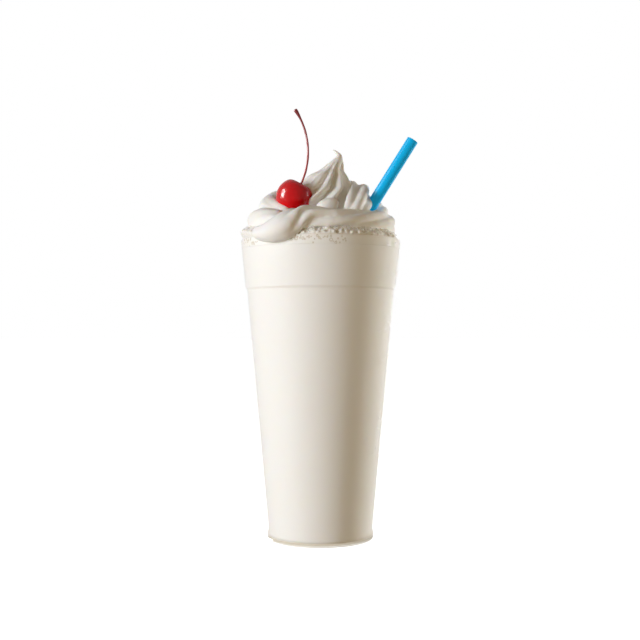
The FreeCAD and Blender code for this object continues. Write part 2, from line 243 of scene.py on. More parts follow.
glassLook = clearGlass()
beadLook = waterBead()
# The drink's under colour is painted light, a glow near the floor.
shakeLook = creamy("vanillaShake", {
    "light": (0.955, 0.94, 0.91), "shade": (0.95, 0.928, 0.89), "blotchScale": 18.0,
    "grainScale": 900.0, "grainStrength": 0.02, "grainDepth": 0.0003, "roughness": 0.45,
    "glow": 0.15, "glowDepth": 0.002, "under": (0.66, 0.62, 0.52)})
# The froth's hollow colour is painted shade.
frothLook = creamy("vanillaFroth", {
    "light": (0.955, 0.94, 0.905), "shade": (0.945, 0.92, 0.875), "blotchScale": 160.0,
    "grainScale": 2400.0, "grainStrength": 0.15, "grainDepth": 0.0003, "roughness": 0.28,
    "glow": 0.15, "glowDepth": 0.002, "hollow": (0.40, 0.29, 0.13)})
creamLook = creamy("whippedCream", {
    "light": (0.955, 0.945, 0.92), "shade": (0.94, 0.925, 0.89), "blotchScale": 60.0,
    "grainScale": 1800.0, "grainStrength": 0.10, "grainDepth": 0.0002, "roughness": 0.50,
    "glow": 0.25, "glowDepth": 0.002})
cherryLook = cherryFlesh()
stemLook = stemSkin()
strawLook = strawPlastic()
filmLook = bubbleFilm()
print("materials made")


# Puts whole arrays of points and faces into a mesh; faces is a list of index arrays, each
# (count, corners), and paint holds a number for each point. Every piece rides on the one
# body, and nodes are the frame's own pieces that it stands in for.
def addPiece(name, points, faces, material, nodes=(), paint=None):
    mesh = bpy.data.meshes.new(name)
    corners = np.concatenate([part.ravel() for part in faces]).astype(np.int32)
    sizes = np.concatenate([np.full(len(part), part.shape[1]) for part in faces])
    mesh.vertices.add(len(points))
    mesh.vertices.foreach_set("co", np.asarray(points, np.float32).ravel())
    mesh.loops.add(len(corners))
    mesh.loops.foreach_set("vertex_index", corners)
    mesh.polygons.add(len(sizes))
    starts = np.concatenate([[0], np.cumsum(sizes)[:-1]]).astype(np.int32)
    mesh.polygons.foreach_set("loop_start", starts)
    mesh.update(calc_edges=True)
    mesh.shade_smooth()
    for key, values in (paint or {}).items():
        layer = mesh.attributes.new(key, "FLOAT", "POINT")
        layer.data.foreach_set("value", np.asarray(values, np.float32).ravel())
    piece = bpy.data.objects.new(name, mesh)
    scene.collection.objects.link(piece)
    mesh.materials.append(material)
    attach(piece, "root")
    if nodes:
        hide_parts(*nodes)
    return piece


# Faces of a grid of points, closed round its columns and at both ends: two more points, the
# poles, follow the grid, the first row's before the last row's, each with a fan round it.
def gridFaces(rows, columns):
    i, j = np.meshgrid(np.arange(rows - 1), np.arange(columns), indexing="ij")
    ahead = (j + 1) % columns
    sides = np.stack([i * columns + j, i * columns + ahead,
                      (i + 1) * columns + ahead, (i + 1) * columns + j], -1).reshape(-1, 4)
    around = np.arange(columns)
    following = (around + 1) % columns
    pole = np.full(columns, rows * columns)
    last = (rows - 1) * columns
    return [sides, np.stack([pole, following, around], -1),
            np.stack([pole + 1, last + around, last + following], -1)]


# A smooth line through rows of numbers (Catmull-Rom): between two rows it is the cubic
# whose slope at each is half the step between that row's neighbours.
def smoothRows(rows, count):
    rows = np.asarray(rows, float)
    padded = np.vstack([2 * rows[0] - rows[1], rows, 2 * rows[-1] - rows[-2]])
    place = np.linspace(0, len(rows) - 1, count)
    index = np.minimum(place.astype(int), len(rows) - 2)
    t = (place - index)[:, None]
    a, b, c, d = (padded[index + k] for k in range(4))
    return 0.5 * (2 * b + (c - a) * t + (2 * a - 5 * b + 4 * c - d) * t**2
                  + (3 * b - a - 3 * c + d) * t**3)


# A profile (rows, columns, 2) carried along a path: centre + across * u + upward * v, where
# across is square to the path and to the reference, and upward is square to both.
def carried(path, profile, reference):
    along = np.gradient(path, axis=0)
    along /= np.linalg.norm(along, axis=1, keepdims=True)
    across = np.cross(np.asarray(reference, float), along)
    across /= np.linalg.norm(across, axis=1, keepdims=True)
    upward = np.cross(along, across)
    return (path[:, None] + across[:, None] * profile[..., :1]
            + upward[:, None] * profile[..., 1:])


# An outline of (radius, height) turned round Z: x = r cos a, y = r sin a, z = h.
def turned(outline, columns):
    angle = np.arange(columns) * 2 * np.pi / columns
    radius, height = outline[:, :1], outline[:, 1:]
    return np.stack([radius * np.cos(angle), radius * np.sin(angle),
                     height + 0 * angle], -1)


# An outline from corners of (radius, height, rounding); a rounded corner becomes the arc
# that touches both of its sides.
def roundedOutline(corners, steps=7):
    outline = []
    for index, (r, z, rounding) in enumerate(corners):
        here = np.array([r, z])
        if not rounding:
            outline.append(here)
            continue
        toBack = np.array(corners[index - 1][:2]) - here
        toNext = np.array(corners[(index + 1) % len(corners)][:2]) - here
        toBack /= np.linalg.norm(toBack)
        toNext /= np.linalg.norm(toNext)
        half = math.acos(np.clip(toBack @ toNext, -1, 1)) / 2
        reach = rounding / math.tan(half)
        middle = (toBack + toNext) / np.linalg.norm(toBack + toNext)
        centre = here + middle * rounding / math.sin(half)
        start, end = here + toBack * reach - centre, here + toNext * reach - centre
        share = np.linspace(0, 1, steps)[:, None]
        arc = start * (1 - share) + end * share
        outline.extend(centre + arc / np.linalg.norm(arc, axis=1, keepdims=True) * rounding)
    return np.array(outline)


# The same outline with its points evenly along it.
def evenly(outline, spacing):
    steps = np.linalg.norm(np.diff(outline, axis=0), axis=1)
    length = np.concatenate([[0], np.cumsum(steps)])
    place = np.linspace(0, length[-1], int(length[-1] / spacing) + 2)
    return np.stack([np.interp(place, length, outline[:, k]) for k in range(2)], -1)


# The same outline with points added along its long sides.
def withMiddles(outline, spacing):
    parts = []
    for here, there in zip(outline[:-1], outline[1:]):
        count = int(np.linalg.norm(there - here) / spacing) + 1
        parts.append(np.linspace(here, there, count + 1)[:-1])
    return np.vstack(parts + [outline[-1:]])


# A number between 0 and 1 for whole-number places, the same every time: the broken part of
# a large sine.
def scatter(seed, *places):
    mixed = sum(place * factor for place, factor in zip(places, (12.9898, 78.233, 37.719)))
    value = np.sin(mixed + seed * 4.1414) * 43758.5453
    return value - np.floor(value)


# Soft noise between -1 and 1: the scatter at the eight corners of a point's cell, blended
# by the smooth step of its place in the cell.
def softNoise(points, cell, seed):
    place = np.asarray(points) / cell
    base = np.floor(place)
    t = place - base
    t = t * t * (3 - 2 * t)
    total = 0
    for i in (0, 1):
        for j in (0, 1):
            for k in (0, 1):
                weight = (np.abs(1 - i - t[..., 0]) * np.abs(1 - j - t[..., 1])
                          * np.abs(1 - k - t[..., 2]))
                total = total + weight * scatter(seed, base[..., 0] + i, base[..., 1] + j,
                                                 base[..., 2] + k)
    return total * 2 - 1


glassLow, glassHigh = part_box("glass")
tumbler = {
    "height": glassHigh.z / mm, "rim": (glassHigh.x - glassLow.x) / 2 / mm,
    "band": 28.0, "ledgeRadius": 42.4, "ledgeStep": 1.0, "ledgeRise": 1.5,
    "neckRadius": 29.3, "neckHeight": 5.4, "footRadius": 29.9, "footTop": 3.4,
    "wall": 2.0, "floor": 1.6, "footCorner": 1.0, "footRound": 0.9, "neckRound": 1.5,
    "lip": 0.85, "ledgeRound": 0.9, "floorCorner": 2.0, "columns": 256, "spacing": 2.5,
}


# The inside of the wall from the floor to the rim, pushed outwards by grow.
def wallInside(size, grow=0.0):
    wall = size["wall"] - grow
    ledge = size["height"] - size["band"]
    return [(size["neckRadius"] - wall, size["floor"] - grow, size["floorCorner"]),
            (size["ledgeRadius"] - size["ledgeStep"] - wall, ledge, size["ledgeRound"]),
            (size["ledgeRadius"] - wall, ledge + size["ledgeRise"], size["ledgeRound"]),
            (size["rim"] - wall, size["height"], size["lip"])]


# The inside radius of the band at a height.
def wallRadius(size, height, grow=0.0):
    low, high = wallInside(size, grow)[2:]
    return low[0] + (high[0] - low[0]) * (height - low[1]) / (high[1] - low[1])


# A turned, closed outline: along the underside, up the outside, over the lip, down the
# inside and back along the floor.
def makeGlass(size):
    ledge = size["height"] - size["band"]
    outside = [(size["footRadius"], 0, size["footCorner"]),
               (size["footRadius"], size["footTop"], size["footRound"]),
               (size["neckRadius"], size["neckHeight"], size["neckRound"]),
               (size["ledgeRadius"] - size["ledgeStep"], ledge, size["ledgeRound"]),
               (size["ledgeRadius"], ledge + size["ledgeRise"], size["ledgeRound"]),
               (size["rim"], size["height"], size["lip"])]
    corners = [(0, 0, 0)] + outside + wallInside(size)[::-1] + [(0, size["floor"], 0)]
    outline = withMiddles(roundedOutline(corners)[1:-1], size["spacing"])
    grid = turned(outline, size["columns"])
    points = np.vstack([grid.reshape(-1, 3), [[0, 0, 0], [0, 0, size["floor"]]]]) * mm
    piece = addPiece("tumbler", points, gridFaces(len(outline), size["columns"]),
                     glassLook, ["glass"])
    piece.visible_shadow = False  # lamps light the drink through the clear wall
    piece.visible_diffuse = False
    return piece


shake = {
    "intoWall": 0.12,  # how far the drink and the froth reach into the wall
    "edge": 0.05, "underTop": 0.5, "underFade": 0.4, "underLight": 0.42, "underLean": 0.36,
}


# A turned body up to the level, reaching a little way into the wall so that no air shows.
# Its under share is painted light, a glow standing for the table's light through the glass: a
# share near the floor, falling to the right, away from the lit side.
def makeShake(size, glass, level):
    rows = wallInside(glass, size["intoWall"])
    top = wallRadius(glass, level, size["intoWall"])
    floor = rows[0][1]
    corners = [(0, floor, 0)] + rows[:3] + [(top, level, size["edge"]), (0, level, 0)]
    outline = withMiddles(roundedOutline(corners)[1:-1], glass["spacing"])
    grid = turned(outline, glass["columns"])
    points = np.vstack([grid.reshape(-1, 3), [[0, 0, floor], [0, 0, level]]]) * mm
    # Painted light: the glow is strongest near the floor and on the left.
    under = np.clip((floor + size["underTop"] - points[:, 2] / mm) / size["underFade"], 0, 1)
    under *= size["underLight"] - size["underLean"] * points[:, 0] / mm / glass["neckRadius"]
    return addPiece("vanillaShake", points, gridFaces(len(outline), glass["columns"]),
                    shakeLook, ["milkshake"], {"under": under})


makeGlass(tumbler)
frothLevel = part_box("froth")[0].z / mm
makeShake(shake, tumbler, frothLevel)
print("glass and shake made")


froth = {
    "wallTop": 0.6, "brimFoot": 1.0, "brimFootRound": 0.6,
    "brimRadius": 43.0, "brim": 2.4, "brimTaper": 1.2, "brimRound": 1.2,
    "shoulder": 38.0, "shoulderHeight": 5.4, "shoulderRound": 4.0,
    "slope": 30.0, "slopeHeight": 7.6, "slopeRound": 12.0, "crown": 10.5,
    "columns": 900, "spacing": 0.28, "shownFrom": 31.5, "hiddenSpacing": 2.0,
    "bigCell": 2.6, "bigCap": 0.44, "smallCell": 1.05, "smallCap": 0.36, "seed": 3,
    "burstFrom": 0.86, "burstDepth": 0.5, "swell": 0.5, "swellCell": 7.0, "swellRadius": 43,
    "spillBearing": -78.0, "spillWidth": 24.0, "spillOut": 1.8, "spillUp": 2.6,
    "ringRows": [(-21.0, 19.0, 34), (-74.0, -50.0, 16)],  # bearings from and to, and how many
    "ringTop": 1.0, "ringDrop": 3.6, "ringSmall": 0.12, "ringSpread": 0.70, "ringLine": 0.20,
    "seamWidth": 0.42,
    # how much of the painted shade colour each place takes
    "plainShade": 0.05, "edgeShade": 0.08, "burstShade": 0.4, "ringShade": 0.6,
    "rimShadow": 0.45,
}


# Packed bubbles on a surface measured out as (around, along) in millimetres, closed after
# the full width: each square cell holds one bubble, set off its middle and of its own
# size, and a point takes the cap of the tallest bubble over it. Returns the height in
# millimetres, how near the point is to a bubble's edge, and which bubble it is.
def bubbleField(around, along, width, cell, seed):
    count = round(width / cell)
    step = width / count
    u, v = around / step, along / cell
    best = np.zeros_like(u)
    edge = np.full_like(u, 9.0)  # farther than any bubble
    mark = np.zeros_like(u)
    for i in (-1, 0, 1):
        for j in (-1, 0, 1):
            column, row = np.floor(u) + i, np.floor(v) + j
            home = column % count
            du = u - column - 0.5 - 0.5 * (scatter(seed, home, row) - 0.5)
            dv = v - row - 0.5 - 0.5 * (scatter(seed + 1, home, row) - 0.5)
            radius = 0.24 + 0.38 * scatter(seed + 2, home, row) ** 1.5
            gap = np.hypot(du, dv) / radius
            cap = np.sqrt(np.clip(1 - gap**2, 0, None)) * radius
            taller = cap > best
            best = np.where(taller, cap, best)
            mark = np.where(taller, scatter(seed + 3, home, row), mark)
            edge = np.minimum(edge, np.abs(gap - 1) * radius)
    return best * cell, edge * cell, mark


# The heap's outline, fine over the part that shows and coarse under the cream.
def frothOutline(size, glass, level, grow):
    rim = glass["height"]
    wallTop = rim - size["wallTop"]
    corners = [(wallRadius(glass, level, grow), level, 0),
               (wallRadius(glass, wallTop, grow), wallTop, 0),
               (size["brimRadius"], rim + size["brimFoot"], size["brimFootRound"]),
               (size["brimRadius"] - size["brimTaper"], rim + size["brim"], size["brimRound"]),
               (size["shoulder"], rim + size["shoulderHeight"], size["shoulderRound"]),
               (size["slope"], rim + size["slopeHeight"], size["slopeRound"]),
               (0.5, rim + size["crown"], 0)]
    outline = roundedOutline(corners)
    shown = outline[:, 0] > size["shownFrom"]
    return np.vstack([evenly(outline[shown], size["spacing"]),
                      evenly(outline[~shown], size["hiddenSpacing"])])


# Painted shade of bubbles pressed flat against the wall just under the rim, each a thin dark
# ring: it shows where a point's distance from the bubble's middle is close to the bubble's
# radius.
def pressedRingShade(size, angle, height, rim, inside):
    pressed = np.zeros_like(angle)
    for start, end, count in size["ringRows"]:
        for index in range(count):
            place = math.radians(start + (end - start) * (index + scatter(71, index, start))
                                 / count - 90)
            middle = rim - size["ringTop"] - size["ringDrop"] * scatter(72, index, start) ** 1.6
            radius = size["ringSmall"] + size["ringSpread"] * scatter(73, index, start) ** 3
            gap = np.hypot(((angle - place + np.pi) % (2 * np.pi) - np.pi) * inside,
                           height - middle)
            line = np.exp(-(((gap - radius) / size["ringLine"]) ** 2))
            pressed = np.maximum(pressed, line)
    return pressed


# The outline is turned; above the rim every point moves out along the outline's normal by
# the caps of large and small bubbles, or in where one has burst. It spills outwards and up
# round one bearing. A painted shade colour darkens it: most in burst bubbles, in the rings of
# bubbles pressed on the wall and in a painted shadow along the rim, and lightly along bubble
# edges and over the whole heap above the rim.
def makeFroth(size, glass, level, grow):
    rim = glass["height"]
    outline = frothOutline(size, glass, level, grow)
    along = np.concatenate([[0], np.cumsum(np.linalg.norm(np.diff(outline, axis=0), axis=1))])
    slope = np.gradient(outline, axis=0)
    normal = np.stack([slope[:, 1], -slope[:, 0]], -1)
    normal /= np.linalg.norm(normal, axis=1, keepdims=True)
    columns = size["columns"]
    width = 2 * np.pi * size["brimRadius"]
    a, s = np.meshgrid(np.arange(columns) * 2 * np.pi / columns, along)
    around = a / (2 * np.pi) * width
    r, z = outline[:, :1], outline[:, 1:]

    big, bigEdge, bigMark = bubbleField(around, s, width, size["bigCell"], size["seed"])
    small, smallEdge, smallMark = bubbleField(around, s, width, size["smallCell"],
                                              size["seed"] + 20)
    burst = (bigMark > size["burstFrom"]) * big
    caps = np.where(burst > 0, -size["burstDepth"] * burst,
                    size["bigCap"] * big + size["smallCap"] * small)
    ground = np.stack([np.cos(a) * size["swellRadius"], np.sin(a) * size["swellRadius"], s], -1)
    swell = softNoise(ground, size["swellCell"], 5) * size["swell"]
    above = np.clip((z - rim + 0.1) / 0.9, 0, 1)
    lift = (caps + swell) * above
    offset = (np.degrees(a) + 90 - size["spillBearing"] + 180) % 360 - 180
    spill = np.exp(-((offset / size["spillWidth"]) ** 2)) * np.clip(
        (z - rim - 0.2) / 0.8, 0, 1) * np.clip((r - 34) / 6, 0, 1)

    edges = np.exp(-((bigEdge / 0.16) ** 2)) * (bigMark > 0.35)
    edges = np.maximum(edges, 0.8 * np.exp(-((smallEdge / 0.10) ** 2)) * (smallMark > 0.5))
    pressed = pressedRingShade(size, a, z, rim, wallRadius(glass, rim, grow))
    # Painted shadow along the rim, strongest on the right and faint on the left.
    seam = np.exp(-(((z - rim + 0.1) / size["seamWidth"]) ** 2)) * (0.55 + 0.45 * np.sin(a + 1.9))
    # Painted shade: all the darkening as one share of the hollow colour.
    hollow = (np.clip(burst, 0, 1) * size["burstShade"] * above
              + (size["plainShade"] + size["edgeShade"] * edges) * above
              + size["ringShade"] * pressed * (above < 0.01) + size["rimShadow"] * seam)

    radius = r + normal[:, :1] * lift + spill * size["spillOut"]
    height = z + normal[:, 1:] * lift + spill * size["spillUp"]
    grid = np.stack([radius * np.cos(a), radius * np.sin(a), height], -1)
    low, high = [0, 0, level], [0, 0, rim + size["crown"]]
    points = np.vstack([grid.reshape(-1, 3), [low, high]]) * mm
    hollow = np.concatenate([hollow.ravel(), [0, 0]])
    return addPiece("vanillaFroth", points, gridFaces(len(outline), columns), frothLook,
                    ["froth"], {"hollow": hollow})


makeFroth(froth, tumbler, frothLevel, shake["intoWall"])
print("froth made")


bubbles = {"count": 220, "small": 0.5, "large": 1.8, "from": -66.0, "to": 92.0, "outer": 42.6,
           "inner": 36.5, "sunk": 0.25, "shrink": 0.5, "fewLarge": 2.2, "seed": 41}
dew = {"count": 340, "small": 0.24, "large": 0.85, "from": 46.0, "to": 126.0, "lowest": 45.0,
       "highest": 166.0, "flatness": 0.5, "out": 0.15, "fewLow": 1.9, "fewLarge": 2.6,
       "seed": 51}


# Many balls as one mesh: centre + radius * u, u on the unit ball, pressed flat along each
# one's normal n by u - (1 - flatness) * (u . n) * n.
def ballMesh(centres, radii, normals, flatness, rings=7, columns=12):
    t = np.linspace(0, np.pi, rings + 2)[1:-1][:, None]
    a = np.arange(columns) * 2 * np.pi / columns
    unit = np.stack([np.sin(t) * np.cos(a), np.sin(t) * np.sin(a), np.cos(t) + 0 * a], -1)
    unit = np.vstack([unit.reshape(-1, 3), [[0, 0, 1], [0, 0, -1]]])
    outward = unit @ normals.T
    flat = unit[:, None] - (1 - flatness) * outward[..., None] * normals
    points = centres[:, None] + radii[:, None, None] * flat.transpose(1, 0, 2)
    starts = (np.arange(len(centres)) * len(unit))[:, None, None]
    faces = [(starts + part[:, ::-1]).reshape(-1, part.shape[1])
             for part in gridFaces(rings, columns)]
    return points.reshape(-1, 3), faces


# Thin bubbles standing on the froth along the front and the right, smaller to the right.
def makeBubbles(size, heap, rim):
    index = np.arange(size["count"])
    along = scatter(size["seed"], index)
    bearing = np.radians(size["from"] + (size["to"] - size["from"]) * along)
    share = scatter(size["seed"] + 1, index)
    radius = size["inner"] + (size["outer"] - size["inner"]) * share
    slope = (heap["shoulderHeight"] - heap["brim"]) / (heap["brimRadius"] - heap["shoulder"])
    height = rim + heap["brim"] + slope * (heap["brimRadius"] - radius)
    large = size["large"] * (1 - size["shrink"] * along)
    grown = scatter(size["seed"] + 2, index) ** size["fewLarge"]
    radii = size["small"] + (large - size["small"]) * grown
    centres = np.stack([radius * np.sin(bearing), -radius * np.cos(bearing),
                        height - size["sunk"] * radii], -1)
    points, faces = ballMesh(centres, radii, np.tile([0.0, 0.0, 1.0], (len(index), 1)), 1.0)
    return addPiece("frothBubbles", points * mm, faces, filmLook)


# Beads of water on the outside of the wall, down the right-hand side, fewer lower down.
def makeDew(size, glass):
    index = np.arange(size["count"])
    seed = size["seed"]
    across = (scatter(seed, index) + scatter(seed + 3, index)) / 2  # thickest in the middle
    bearing = np.radians(size["from"] + (size["to"] - size["from"]) * across)
    fallen = scatter(seed + 1, index) ** size["fewLow"]
    height = size["highest"] - (size["highest"] - size["lowest"]) * fallen
    ledge = glass["height"] - glass["band"]
    radius = np.interp(height, [glass["neckHeight"], ledge, ledge + glass["ledgeRise"],
                                glass["height"]],
                       [glass["neckRadius"], glass["ledgeRadius"] - glass["ledgeStep"],
                        glass["ledgeRadius"], glass["rim"]])
    normals = np.stack([np.sin(bearing), -np.cos(bearing), 0 * bearing], -1)
    grown = scatter(seed + 2, index) ** size["fewLarge"]
    radii = size["small"] + (size["large"] - size["small"]) * grown
    centres = normals * (radius + size["out"] * radii)[:, None]
    centres[:, 2] = height
    points, faces = ballMesh(centres, radii, normals, size["flatness"])
    return addPiece("dew", points * mm, faces, beadLook)


makeBubbles(bubbles, froth, tumbler["height"])
dewPiece = makeDew(dew, tumbler)
print("bubbles and dew made")


# Whipped cream. Each rope is a list of stations: x, y, z, radius, the turn of its ribs and
# how deep the grooves between them are, in millimetres, degrees and a share of the radius;
# turn 180 faces out from the glass's middle and 90 faces up.
whipped = {
    "voxel": 0.0006, "smooth": 3, "smoothShare": 0.5, "seed": 11,
    "stir": [(0.16, 4.5), (0.06, 1.6)],  # height and cell of each layer of noise
    "ring": {"ribs": 5, "stations": [
        (-35.2, -27.5, 170.4, 3.0, 276, 0.05), (-30.5, -34.0, 169.2, 4.6, 270, 0.05),
        (-25.0, -37.8, 170.0, 6.2, 264, 0.05), (-20.0, -39.0, 172.0, 7.3, 256, 0.06),
        (-15.0, -38.6, 174.6, 7.1, 234, 0.16), (-10.0, -37.6, 176.4, 6.7, 190, 0.28),
        (-5.0, -36.7, 177.0, 6.3, 160, 0.32), (1.0, -36.0, 176.8, 6.0, 142, 0.32),
        (8.0, -35.0, 176.2, 5.8, 126, 0.30), (16.0, -32.0, 176.0, 5.7, 102, 0.28),
        (24.0, -26.0, 176.2, 5.8, 74, 0.26), (31.0, -17.0, 176.4, 6.2, 46, 0.24),
        (35.0, -5.0, 176.0, 6.9, 10, 0.22), (34.5, 9.0, 176.0, 7.1, -30, 0.24),
        (28.0, 22.0, 176.8, 7.0, -70, 0.26), (15.0, 32.0, 177.5, 7.0, -110, 0.28),
        (0.0, 35.5, 177.8, 7.0, -150, 0.28), (-15.0, 32.0, 177.8, 7.0, -190, 0.28),
        (-27.5, 22.5, 177.8, 7.0, -230, 0.24), (-33.5, 8.0, 177.9, 7.1, -260, 0.14),
        (-33.8, -4.0, 178.0, 7.1, -280, 0.08), (-31.0, -15.0, 177.6, 7.0, -300, 0.08),
        (-25.5, -24.0, 176.4, 6.4, -330, 0.08), (-18.0, -29.0, 175.5, 5.4, -350, 0.1)]},
    "middle": {"ribs": 6, "stations": [
        (25.0, -16.0, 176.5, 4.6, 0, 0.1), (29.0, -8.0, 179.0, 6.0, 20, 0.15),
        (31.0, 1.5, 182.6, 7.2, 40, 0.22), (28.5, 12.0, 184.4, 7.6, 60, 0.24),
        (21.0, 20.0, 185.2, 7.7, 85, 0.24), (10.0, 25.5, 185.5, 7.8, 110, 0.24),
        (-4.0, 26.5, 185.5, 7.8, 140, 0.24), (-18.0, 20.5, 184.5, 7.6, 170, 0.2),
        (-26.5, 9.0, 183.0, 7.0, 200, 0.1), (-27.5, -3.0, 181.5, 6.0, 220, 0.08)]},
    "coil": {"ribs": 6, "stations": [
        (15.5, -23.5, 177.5, 5.5, 20, 0.26), (18.0, -19.0, 182.5, 7.0, 15, 0.32),
        (20.0, -12.0, 187.6, 7.9, 10, 0.34), (20.5, -3.0, 191.4, 8.3, 10, 0.34),
        (17.5, 6.5, 193.6, 8.3, 20, 0.3), (8.5, 13.5, 194.4, 8.2, 40, 0.28),
        (-3.0, 16.5, 194.0, 8.0, 65, 0.26), (-14.0, 14.0, 192.0, 8.0, 90, 0.22),
        (-22.5, 6.0, 189.5, 7.6, 120, 0.12), (-26.5, -3.0, 186.6, 7.2, 140, 0.07),
        (-26.8, -11.0, 184.2, 6.8, 160, 0.06), (-22.0, -18.0, 181.5, 6.0, 180, 0.08),
        (-15.0, -22.0, 179.0, 5.0, 200, 0.1)]},
    "lobe": {"ribs": 3, "stations": [
        (-2.0, -19.5, 180.0, 3.5, 0, 0.1), (2.5, -21.5, 183.3, 5.0, 0, 0.1),
        (6.5, -21.0, 185.8, 4.2, 10, 0.1), (8.5, -18.5, 188.0, 2.8, 20, 0.1)]},
    "dab": {"ribs": 3, "stations": [
        (28.0, -18.5, 176.0, 2.6, 0, 0.1), (30.0, -17.0, 179.0, 3.2, 0, 0.1),
        (31.0, -14.5, 181.6, 2.4, 0, 0.1), (31.0, -12.5, 183.0, 1.2, 0, 0.1)]},
}
peak = {
    # stations: x, y, z and radius up the middle of the peak, then over to its curled tip
    "stations": [(0, -1, 170, 13), (0.5, -1, 178, 16), (1.0, -1, 184, 19.5),
                 (1.2, -1, 189, 21), (2.0, -1, 194.5, 18.7), (3.0, -1, 200, 14.0),
                 (4.1, -1, 204, 10.9), (6.1, -1, 207, 7.4), (8.2, -1, 210.5, 5.2),
                 (9.7, -1, 213.2, 3.2), (10.6, -1, 215.2, 1.9), (10.2, -1, 216.6, 1.4),
                 (8.9, -1, 217.8, 1.1), (7.3, -1, 219.0, 0.8)],
    "ribs": [-75, -20, 3, 33, 65, 100, 140, 180, 220, 253],  # bearings from the front
    "depths": [0.26, 0.22, 0.36, 0.44, 0.36, 0.32, 0.30, 0.28, 0.30, 0.28],
    # how far the ribs have turned at each height
    "turns": [(170, -58), (182, -40), (189, -20), (196, -2), (204, 8), (212, 2), (220, 0)],
    "smoothRadius": 1.5, "fade": 4, "swell": 0.15, "cut": 1.15,
}


# Sections of a rope: radius * (1 + depth * (|cos(ribs * (angle - turn) / 2)| - 0.7)), round
# on the ribs and sharp in the grooves between them, domed over the first and last stations.
def ropeMesh(rope, rows=260, columns=120):
    line = smoothRows(rope["stations"], rows)
    angle = np.arange(columns) * 2 * np.pi / columns
    path, radius, depth = line[:, :3], line[:, 3:4], line[:, 5:6]
    turn = np.radians(line[:, 4:5])
    wave = np.abs(np.cos(rope["ribs"] * (angle - turn) / 2))
    steps = np.linalg.norm(np.diff(path, axis=0), axis=1)
    length = np.concatenate([[0], np.cumsum(steps)])[:, None]
    near = np.minimum(length, length[-1] - length)
    dome = np.sqrt(np.clip(1 - (1 - np.clip(near / radius, 0.004, 1)) ** 2, 0, 1))
    reach = radius * dome * (1 + depth * (wave - 0.7))
    profile = np.stack([reach * np.cos(angle), reach * np.sin(angle)], -1)
    grid = carried(path, profile, (0, 0, 1))
    points = np.vstack([grid.reshape(-1, 3), path[:1], path[-1:]])
    return points, gridFaces(rows, columns)


# Level sections of the peak: the ribs stand at their own bearings, the count of ribs passed
# runs evenly between them, and the radius falls to the groove by |cos(pi * count)|, less and
# less towards the thin tip.
def peakMesh(size, rows=300, columns=240):
    line = smoothRows(size["stations"], rows)
    path, radius = line[:, :3], line[:, 3:4]
    bearing = np.arange(columns) * 360 / columns - 105  # degrees from the front
    heights, turns = np.array(size["turns"], float).T
    turn = np.interp(path[:, 2], heights, turns)[:, None]
    ribs = np.array(size["ribs"] + [size["ribs"][0] + 360], float)
    depths = np.array(size["depths"] + size["depths"][:1])
    seen = (bearing - turn - ribs[0]) % 360 + ribs[0]
    count = np.interp(seen, ribs, np.arange(len(ribs)))
    depth = np.interp(seen, ribs, depths)
    wave = np.abs(np.cos(np.pi * count))
    fade = np.clip((radius - size["smoothRadius"]) / size["fade"], 0, 1)
    reach = radius * (1 + depth * size["swell"] * fade - depth * fade * size["cut"] * (1 - wave))
    away = np.radians(bearing)
    grid = path[:, None] + np.stack([reach * np.sin(away), -reach * np.cos(away),
                                     0 * reach], -1)
    points = np.vstack([grid.reshape(-1, 3), path[:1], path[-1:]])
    return points, gridFaces(rows, columns)


# The ropes' overlapping shells become one skin on a grid of voxels, which is smoothed and
# then stirred by soft noise along its normals.
def makeCream(size, top):
    parts = [ropeMesh(size[name]) for name in ("ring", "middle", "coil", "lobe", "dab")]
    parts.append(peakMesh(top))
    start, points, faces = 0, [], []
    for partPoints, partFaces in parts:
        points.append(partPoints)
        faces.extend(part + start for part in partFaces)
        start += len(partPoints)
    piece = addPiece("whippedCream", np.vstack(points) * mm, faces, creamLook,
                     ["whipped_cream"])
    remesh = piece.modifiers.new("oneSkin", "REMESH")
    remesh.mode = "VOXEL"
    remesh.voxel_size = size["voxel"]
    remesh.use_smooth_shade = True
    smooth = piece.modifiers.new("soften", "SMOOTH")
    smooth.factor = size["smoothShare"]
    smooth.iterations = size["smooth"]
    bpy.context.view_layer.update()
    evaluated = piece.evaluated_get(bpy.context.evaluated_depsgraph_get())
    skin = bpy.data.meshes.new_from_object(evaluated)
    piece.modifiers.clear()
    piece.data = skin
    count = len(skin.vertices)
    place, normal = np.empty(count * 3), np.empty(count * 3)
    skin.vertices.foreach_get("co", place)
    skin.vertices.foreach_get("normal", normal)
    place, normal = place.reshape(-1, 3), normal.reshape(-1, 3)
    stir = sum(height * softNoise(place / mm, cell, size["seed"] + index)
               for index, (height, cell) in enumerate(size["stir"]))
    skin.vertices.foreach_set("co", (place + normal * stir[:, None] * mm).ravel())
    skin.update()
    return piece


makeCream(whipped, peak)
print("whipped cream made")


cherryLow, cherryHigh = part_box("cherry")
cherry = {
    "radius": (cherryHigh.y - cherryLow.y) / 2 / mm, "inset": 0.25, "tilt": 28.5,
    "dimple": 2.9, "dimpleWidth": 0.42, "rows": 120, "columns": 160,
    "seam": 0.10, "seamAngle": 2.4, "seamWidth": 0.05,
    "shoulder": 0.35, "shoulderAngle": 0.75, "shoulderWidth": 0.35, "shoulderTurn": 0.6,
    "uneven": 0.004, "unevenCell": 5.0, "seed": 31,
}
stem = {
    "length": 45.4, "bend": 41.5, "radius": 0.6, "tip": 1.15, "set": 1.5, "rows": 90,
    "columns": 20, "flareFrom": 0.86, "flareSpan": 0.14, "blunt": 0.8,
}
cherryMiddle = np.array([(cherryLow.x + cherryHigh.x) / 2, (cherryLow.y + cherryHigh.y) / 2,
                         cherryLow.z + cherry["radius"] * mm]) / mm
tilt = math.radians(cherry["tilt"])
cherryAxis = np.array([math.sin(tilt), 0, math.cos(tilt)])
cherryAside = np.array([math.cos(tilt), 0, -math.sin(tilt)])
cherryBack = np.array([0.0, 1.0, 0.0])


